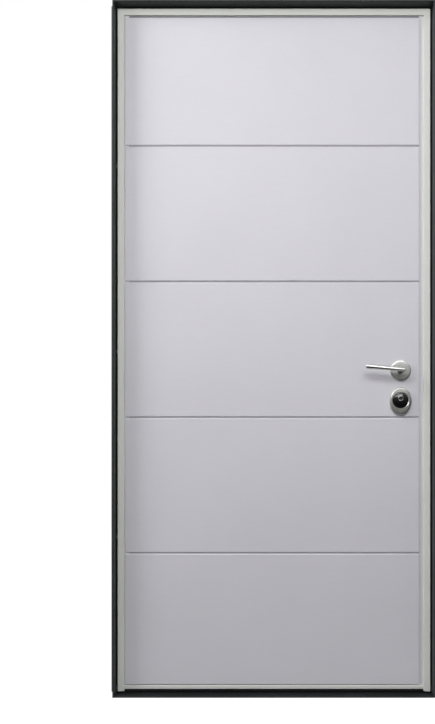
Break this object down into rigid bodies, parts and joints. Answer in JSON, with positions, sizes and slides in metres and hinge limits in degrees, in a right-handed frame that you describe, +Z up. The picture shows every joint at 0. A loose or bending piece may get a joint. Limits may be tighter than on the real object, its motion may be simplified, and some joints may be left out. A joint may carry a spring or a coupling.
{
  "type": "security door",
  "caption": "Steel security door closed in its slim dark frame: pale panel with level V-grooves, light retaining trims, lever handle on a round rose and an oval cylinder guard.",
  "frame": {"origin": "centre of the threshold's underside, at floor level", "axes": "+X from the hinge side to the lock side, +Y into the building, +Z up"},
  "size_m": [1.008, 0.1795, 2.1205],
  "materials": {
    "frame_paint": "dark anthracite, satin",
    "leaf_paint": "dark primer, satin",
    "trim_paint": "warm light grey, satin",
    "panel_lacquer": "pale grey-white lacquer, satin",
    "satin_steel": "satin",
    "satin_nickel": "satin nickel",
    "guard_black": "gloss black",
    "cylinder_metal": "polished nickel",
    "zinc_steel": "zinc plated",
    "seal_rubber": "matt black"
  },
  "bodies": {
    "frame": {"jamb_hinge_side": "frame_paint", "jamb_lock_side": "frame_paint", "head": "frame_paint", "threshold": "frame_paint", "seal_hinge_side": "seal_rubber", "seal_lock_side": "seal_rubber", "seal_head": "seal_rubber", "strike_box_main": "zinc_steel", "strike_box_upper": "zinc_steel", "strike_box_lower": "zinc_steel", "hinge_upper_frame_half": "zinc_steel", "hinge_lower_frame_half": "zinc_steel"},
    "leaf": {"leaf_core": "leaf_paint", "leaf_cover": "leaf_paint", "outer_panel": "panel_lacquer", "inner_panel": "panel_lacquer", "outer_trim_hinge_side": "trim_paint", "outer_trim_lock_side": "trim_paint", "outer_trim_top": "trim_paint", "outer_trim_bottom": "trim_paint", "inner_trim_hinge_side": "trim_paint", "inner_trim_lock_side": "trim_paint", "inner_trim_top": "trim_paint", "inner_trim_bottom": "trim_paint", "bottom_seal": "seal_rubber", "lock_faceplates": "zinc_steel", "latch_bolt": "zinc_steel", "deadbolts": "zinc_steel", "upper_bolt": "zinc_steel", "lower_bolt": "zinc_steel", "dog_bolts": "zinc_steel", "hinge_upper_leaf_half": "zinc_steel", "hinge_lower_leaf_half": "zinc_steel", "outer_rose": "satin_steel", "inner_rose": "satin_steel", "outer_escutcheon": "satin_nickel", "inner_escutcheon": "satin_nickel", "outer_guard_disc": "guard_black", "inner_guard_disc": "guard_black", "cylinder_body": "cylinder_metal"},
    "handle": {"outer_lever": "satin_steel", "inner_lever": "satin_steel", "spindle": "zinc_steel"},
    "key_plug": {"outer_key_plug": "cylinder_metal", "inner_key_plug": "cylinder_metal"}
  },
  "joints": [
    {"name": "leaf_swing", "type": "hinge", "parent": "frame", "child": "leaf", "pos_m": [-0.497, 0.066, 0], "axis": [0, 0, 1], "range_deg": [0, 100]},
    {"name": "handle_turn", "type": "hinge", "parent": "leaf", "child": "handle", "pos_m": [0.386, 0, 0.99], "axis": [0, -1, 0], "range_deg": [0, 45], "stiffness_Nm_per_rad": 1.5, "springref_deg": -22.92},
    {"name": "key_plug_turn", "type": "hinge", "parent": "leaf", "child": "key_plug", "pos_m": [0.386, 0, 0.905], "axis": [0, 1, 0], "range_deg": [-90, 360]}
  ]
}
